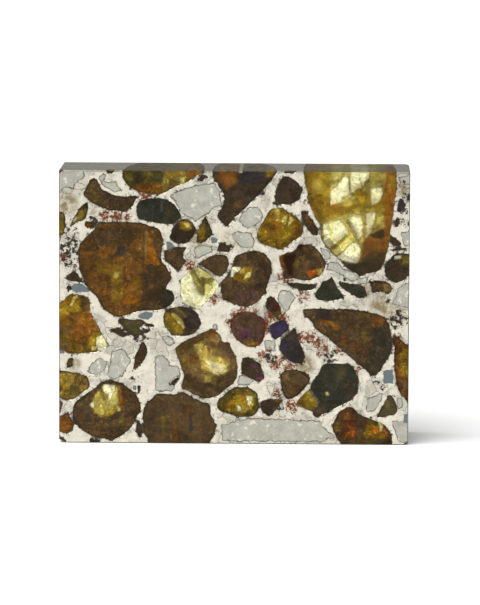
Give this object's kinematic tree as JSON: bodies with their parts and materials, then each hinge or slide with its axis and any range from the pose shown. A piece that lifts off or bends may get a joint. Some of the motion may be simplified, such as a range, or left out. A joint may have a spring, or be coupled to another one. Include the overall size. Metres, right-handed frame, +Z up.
{
  "type": "pallasite meteorite block",
  "caption": "Cut and polished block of pallasite meteorite: amber and dark olivine crystals set flush in bright iron-nickel metal, standing on one long sawn edge.",
  "frame": {"origin": "middle of the underside, on the surface that the block stands on", "axes": "+X along the block's length, +Y from the polished front to the back, +Z up"},
  "size_m": [0.09, 0.022, 0.0706],
  "materials": {
    "iron_nickel": "cut and polished iron-nickel, bright, with a fine scratch grain",
    "olivine_dark": "polished flush, green-black, light passes only in thin places",
    "olivine_brown": "polished flush, red-brown, rust along its cracks",
    "olivine_amber": "polished flush, amber, glows where light comes through",
    "olivine_yellow": "polished flush, clear yellow, see-through"
  },
  "bodies": {
    "root": {"iron_nickel_matrix": "iron_nickel", "olivine_top_amber": "olivine_amber", "olivine_boomerang": "olivine_brown", "olivine_green_oval": "olivine_dark", "olivine_left_sliver": "olivine_yellow", "olivine_great_brown": "olivine_brown", "olivine_left_amber": "olivine_amber", "olivine_top_dark": "olivine_dark", "olivine_dark_nut": "olivine_dark", "olivine_great_yellow": "olivine_yellow", "olivine_amber_knuckle": "olivine_amber", "olivine_small_ridge": "olivine_brown", "olivine_brown_window": "olivine_brown", "olivine_dark_wing": "olivine_dark", "olivine_pale_window": "olivine_yellow", "olivine_yellow_cap": "olivine_amber", "olivine_diamond": "olivine_amber", "olivine_brown_flank": "olivine_brown", "olivine_left_rim": "olivine_brown", "olivine_dark_chip": "olivine_dark", "olivine_rust_eye": "olivine_brown", "olivine_dark_lens": "olivine_dark", "olivine_dark_triangle": "olivine_dark", "olivine_dark_blade": "olivine_dark", "olivine_brown_bead": "olivine_brown", "olivine_right_dark": "olivine_dark", "olivine_right_wedge": "olivine_dark", "olivine_dark_ledge": "olivine_dark", "olivine_striped_brown": "olivine_brown", "olivine_square_yellow": "olivine_amber", "olivine_leaf": "olivine_brown", "olivine_left_brown": "olivine_amber", "olivine_round_window": "olivine_brown", "olivine_lower_left": "olivine_brown", "olivine_great_dark_foot": "olivine_dark", "olivine_purple_round": "olivine_brown", "olivine_red_tongue": "olivine_brown", "olivine_violet_tile": "olivine_dark", "olivine_violet_slab": "olivine_dark", "olivine_violet_foot": "olivine_brown", "olivine_great_right": "olivine_brown", "olivine_green_nut": "olivine_dark", "olivine_rusty_shoulder": "olivine_brown", "olivine_yellow_wedge": "olivine_yellow", "olivine_golden_eye": "olivine_amber", "olivine_brown_kite": "olivine_brown", "olivine_foot_amber": "olivine_amber", "olivine_right_amber": "olivine_amber", "olivine_green_shard": "olivine_dark", "olivine_left_triangle": "olivine_dark", "olivine_back_upper_left": "olivine_brown", "olivine_back_crown": "olivine_dark", "olivine_back_middle_left": "olivine_amber", "olivine_back_middle": "olivine_brown", "olivine_back_shoulder": "olivine_amber", "olivine_back_right": "olivine_dark", "olivine_back_right_top": "olivine_brown", "olivine_back_foot": "olivine_yellow", "olivine_back_left": "olivine_brown"}
  },
  "joints": []
}
